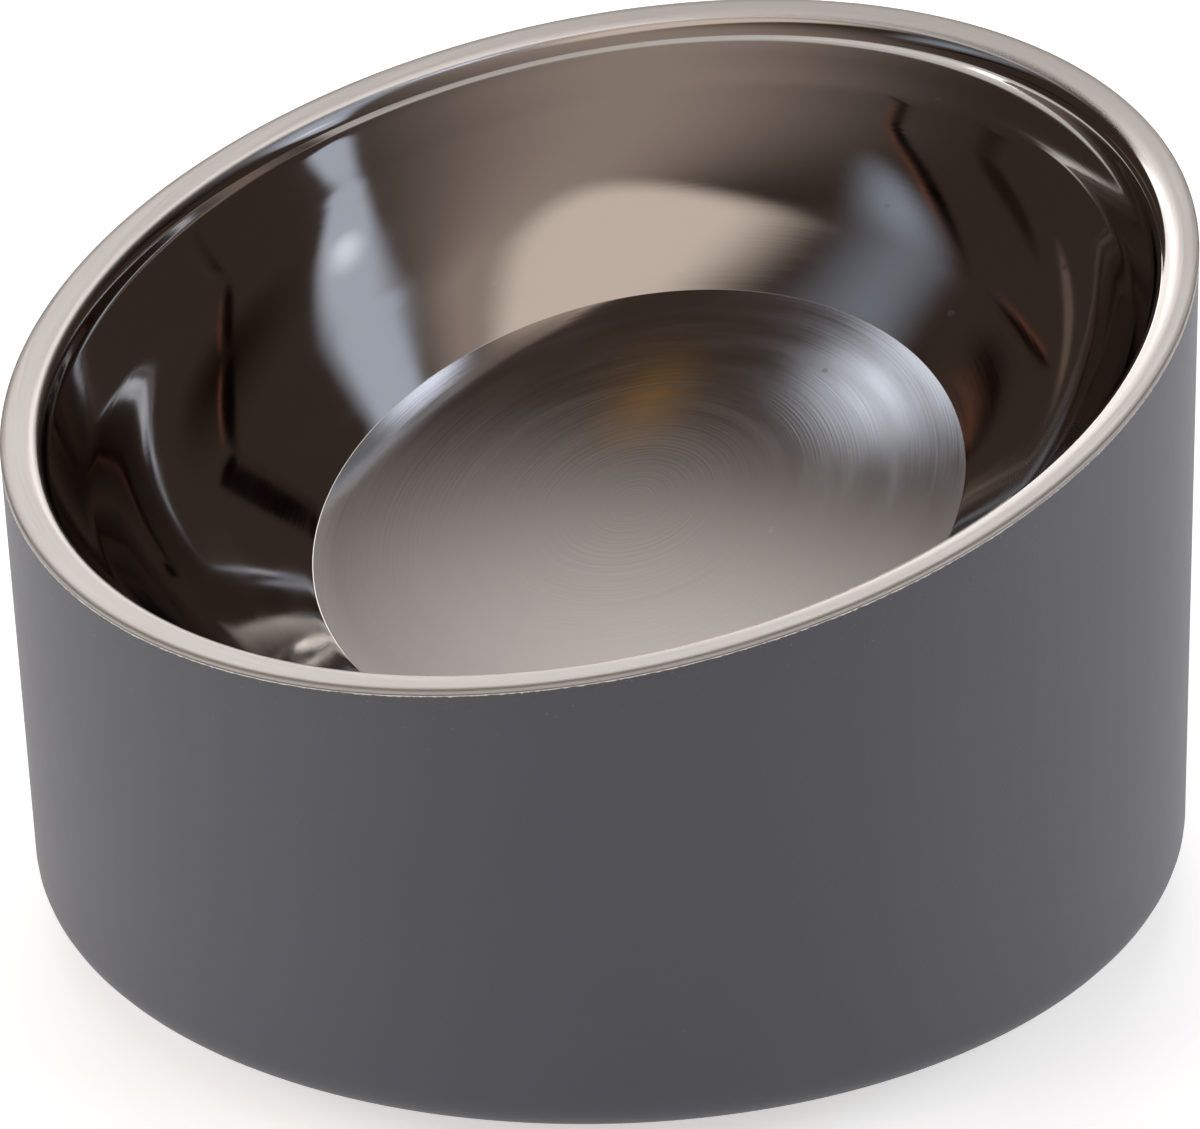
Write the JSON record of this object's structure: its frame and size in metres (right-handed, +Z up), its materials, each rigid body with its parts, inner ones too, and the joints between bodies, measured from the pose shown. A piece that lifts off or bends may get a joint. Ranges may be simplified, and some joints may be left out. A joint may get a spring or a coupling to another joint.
{
  "type": "dog bowl",
  "caption": "Double-wall steel dog bowl with a slanted rim: polished bowl in an upright powder-coated shell on a rubber foot pad.",
  "frame": {"origin": "on the ground, under the middle of the bowl", "axes": "+Z up, +Y towards the high side of the rim, +X to the right when the low side faces the viewer"},
  "size_m": [0.18, 0.18, 0.1139],
  "materials": {
    "polished_steel": "mirror-polished stainless steel, satin on the rim",
    "powder_coat": "matt slate-grey powder coat",
    "plug_silicone": "moulded silicone",
    "adhesive_film": "cured adhesive film",
    "pad_rubber": "moulded black rubber"
  },
  "bodies": {
    "root": {"inner_bowl": "polished_steel", "outer_shell": "powder_coat", "vent_plug": "plug_silicone", "pad_adhesive": "adhesive_film", "non_slip_pad": "pad_rubber"}
  },
  "joints": []
}
